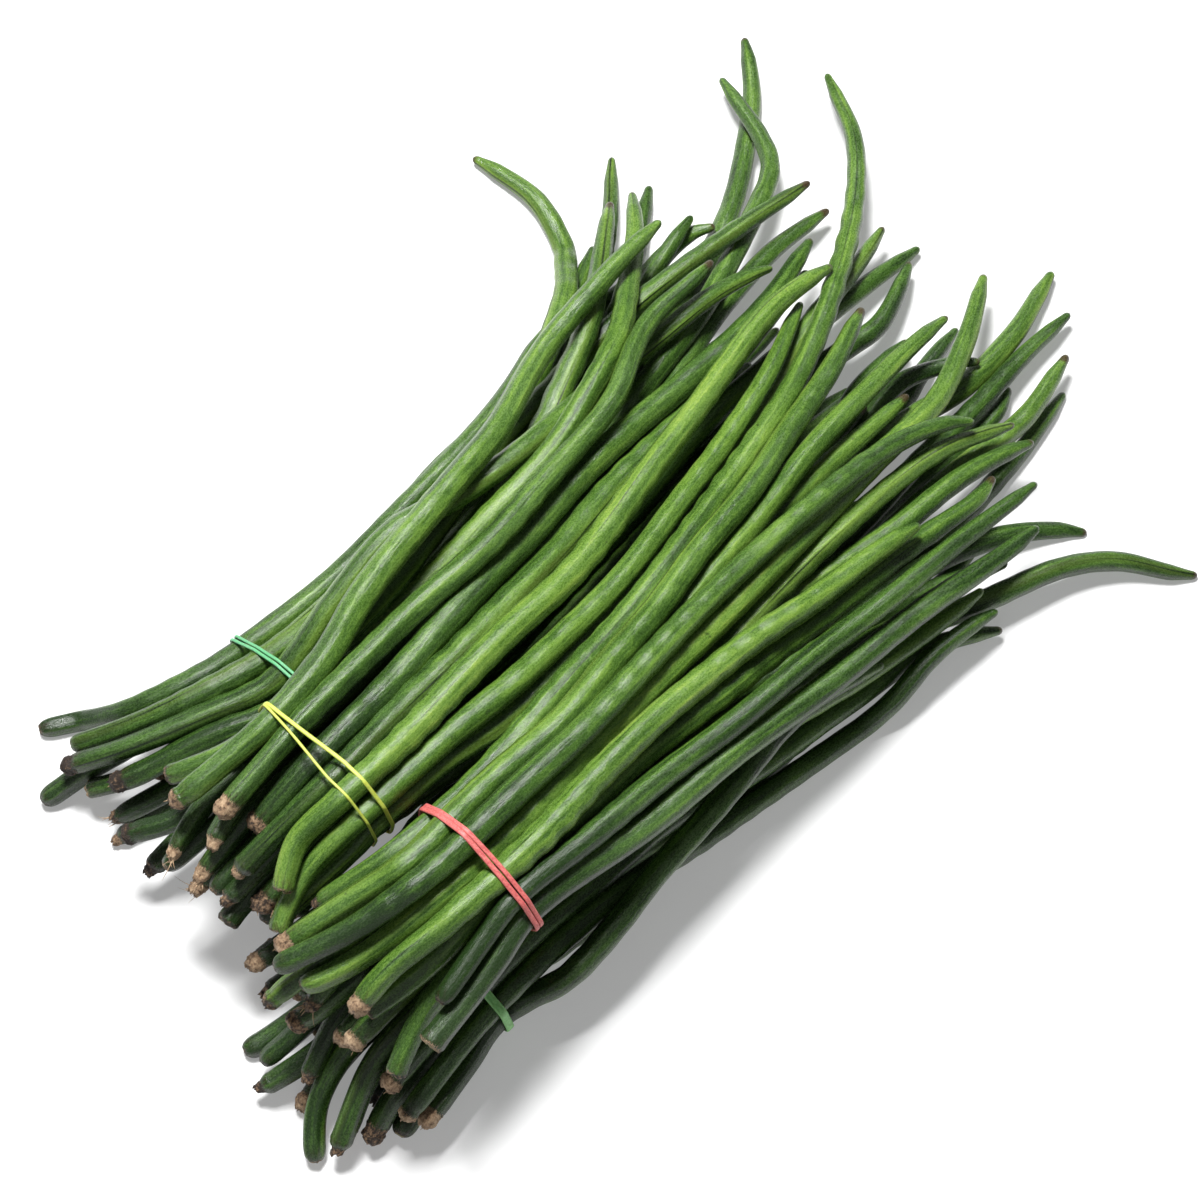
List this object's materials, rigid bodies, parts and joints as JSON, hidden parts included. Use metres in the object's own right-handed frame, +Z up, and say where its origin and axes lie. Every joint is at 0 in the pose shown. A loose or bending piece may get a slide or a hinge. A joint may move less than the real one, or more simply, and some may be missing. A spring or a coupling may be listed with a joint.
{
  "type": "cowpea pod bunch",
  "caption": "Heap of long thin green cowpea pods in rubber-banded handfuls, fanned out from the bands, with cut brown stem ends and pointed tips.",
  "frame": {"origin": "middle of the bounding box, on the surface that the bunch lies on", "axes": "+X along the pods from their stem ends to their tips; +Y across the bunch, from the green-banded handful to the mint-banded one; +Z up"},
  "size_m": [0.4096, 0.2957, 0.0928],
  "materials": {
    "mint_banded_pods": "waxy, semi-gloss, mottled green skin",
    "yellow_banded_pods": "waxy, semi-gloss, mottled green skin",
    "pink_banded_pods": "waxy, semi-gloss, mottled green skin",
    "green_banded_pods": "waxy, semi-gloss, mottled green skin",
    "mint_rubber": "satin",
    "yellow_rubber": "satin",
    "pink_rubber": "satin",
    "pale_green_rubber": "satin"
  },
  "bodies": {
    "root": {"pods_mint": "mint_banded_pods", "pods_yellow": "yellow_banded_pods", "pods_pink": "pink_banded_pods", "pods_green": "green_banded_pods", "band_mint": "mint_rubber", "band_yellow": "yellow_rubber", "band_pink": "pink_rubber", "band_green": "pale_green_rubber"}
  },
  "joints": []
}
